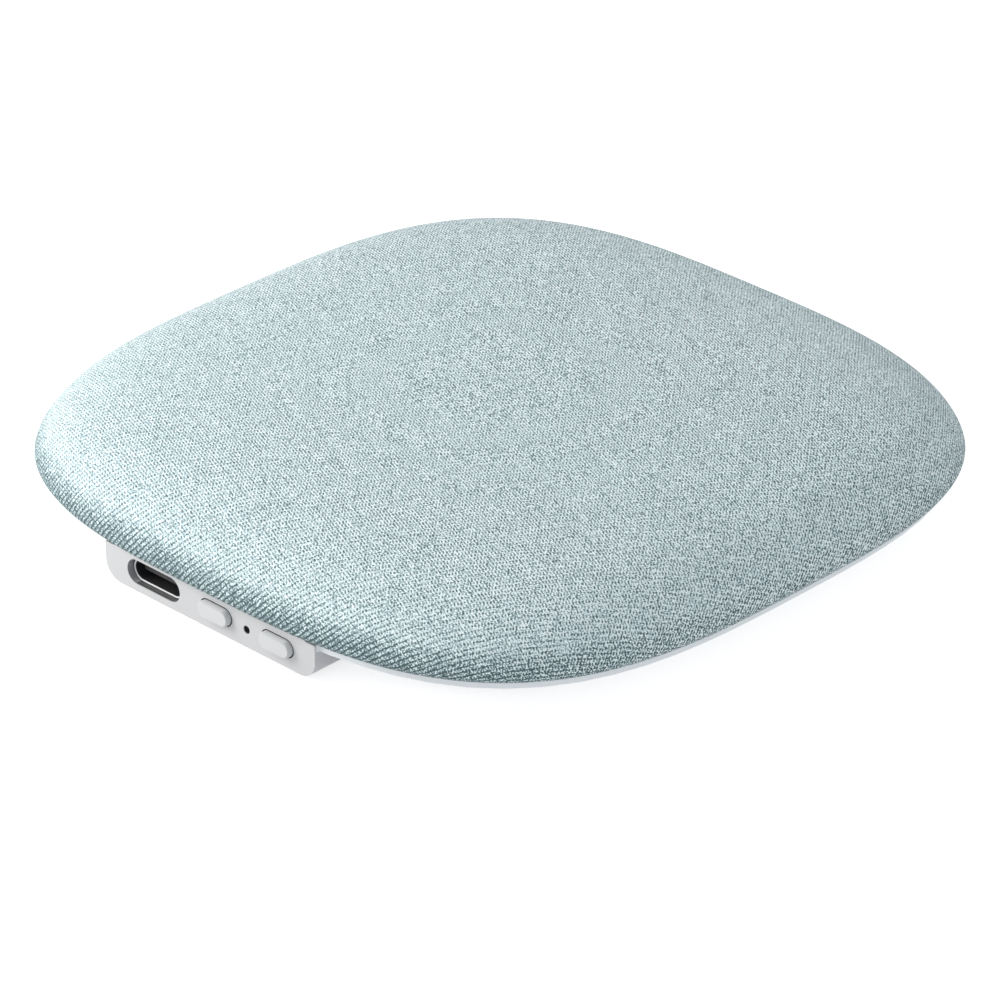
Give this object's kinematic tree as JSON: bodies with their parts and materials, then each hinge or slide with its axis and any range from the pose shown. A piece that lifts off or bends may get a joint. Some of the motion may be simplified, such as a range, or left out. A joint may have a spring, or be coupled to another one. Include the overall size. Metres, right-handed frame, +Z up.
{
  "type": "pillow speaker",
  "caption": "Slim squircle pillow speaker with a crowned knit cover, a white base on rubber feet, and a port block with push buttons and a charging socket.",
  "frame": {"origin": "centre of the footprint, on the plane the four feet rest on", "axes": "+Z up out of the knit cover; -Y is the front, where the port block with the buttons is; +X to the right seen from the front"},
  "size_m": [0.104, 0.104, 0.016],
  "materials": {
    "knit": "stretched knit",
    "foam": "open-cell foam",
    "frame_plastic": "moulded",
    "shell_plastic": "satin white",
    "foot_rubber": "matte",
    "screw_steel": "plated",
    "board_laminate": "solder resist",
    "port_steel": "bright",
    "port_insulator": "moulded black",
    "contact_gold": "plated",
    "button_plastic": "polished white",
    "switch_plastic": "moulded black",
    "plunger_plastic": "ivory",
    "capsule_metal": "drawn can",
    "boot_rubber": "matte black",
    "pouch": "laminated pouch",
    "tape": "adhesive foam tape",
    "plug_plastic": "ivory",
    "lead_red": "insulation",
    "lead_black": "insulation",
    "basket_steel": "grey coat",
    "yoke_steel": "zinc plated",
    "magnet_nickel": "nickel plated",
    "plate_steel": "zinc plated",
    "coil_copper": "enamelled winding",
    "cone_film": "pressed cone",
    "surround_rubber": "soft roll",
    "gasket_foam": "adhesive foam",
    "chip_black": "moulded",
    "inductor_ferrite": "ferrite",
    "crystal_can": "can",
    "capacitor_ceramic": "fired"
  },
  "bodies": {
    "housing": {"fabric_cover": "knit", "foam_pad": "foam", "top_frame": "frame_plastic", "bottom_shell": "shell_plastic", "foot_front_left": "foot_rubber", "foot_front_right": "foot_rubber", "foot_back_left": "foot_rubber", "foot_back_right": "foot_rubber", "housing_screws": "screw_steel", "board_screws": "screw_steel", "main_board": "board_laminate", "usb_shell": "port_steel", "usb_tongue": "port_insulator", "usb_contacts": "contact_gold", "left_switch_body": "switch_plastic", "right_switch_body": "switch_plastic", "microphone": "capsule_metal", "microphone_boot": "boot_rubber", "battery_cell": "pouch", "battery_tape": "tape", "battery_connector": "plug_plastic", "battery_lead_red": "lead_red", "battery_lead_black": "lead_black", "speaker_connector": "plug_plastic", "speaker_lead_red": "lead_red", "speaker_lead_black": "lead_black", "speaker_frame": "basket_steel", "speaker_yoke": "yoke_steel", "speaker_magnet": "magnet_nickel", "speaker_top_plate": "plate_steel", "speaker_surround": "surround_rubber", "speaker_gasket": "gasket_foam", "bluetooth_chip": "chip_black", "amplifier_chip": "chip_black", "power_inductor": "inductor_ferrite", "crystal": "crystal_can", "board_capacitors": "capacitor_ceramic"},
    "left_push": {"left_button": "button_plastic", "left_switch_plunger": "plunger_plastic"},
    "right_push": {"right_button": "button_plastic", "right_switch_plunger": "plunger_plastic"},
    "diaphragm": {"speaker_cone": "cone_film", "voice_coil": "coil_copper", "dust_cap": "cone_film"}
  },
  "joints": [
    {"name": "left_button_press", "type": "slide", "parent": "housing", "child": "left_push", "axis": [0, 1, 0], "range_m": [0, 0.0003], "stiffness_N_per_m": 4000},
    {"name": "right_button_press", "type": "slide", "parent": "housing", "child": "right_push", "axis": [0, 1, 0], "range_m": [0, 0.0003], "stiffness_N_per_m": 4000},
    {"name": "diaphragm_travel", "type": "slide", "parent": "housing", "child": "diaphragm", "axis": [0, 0, 1], "range_m": [-0.0004, 0.0004], "stiffness_N_per_m": 1500, "deforming": ["speaker_surround"]}
  ]
}
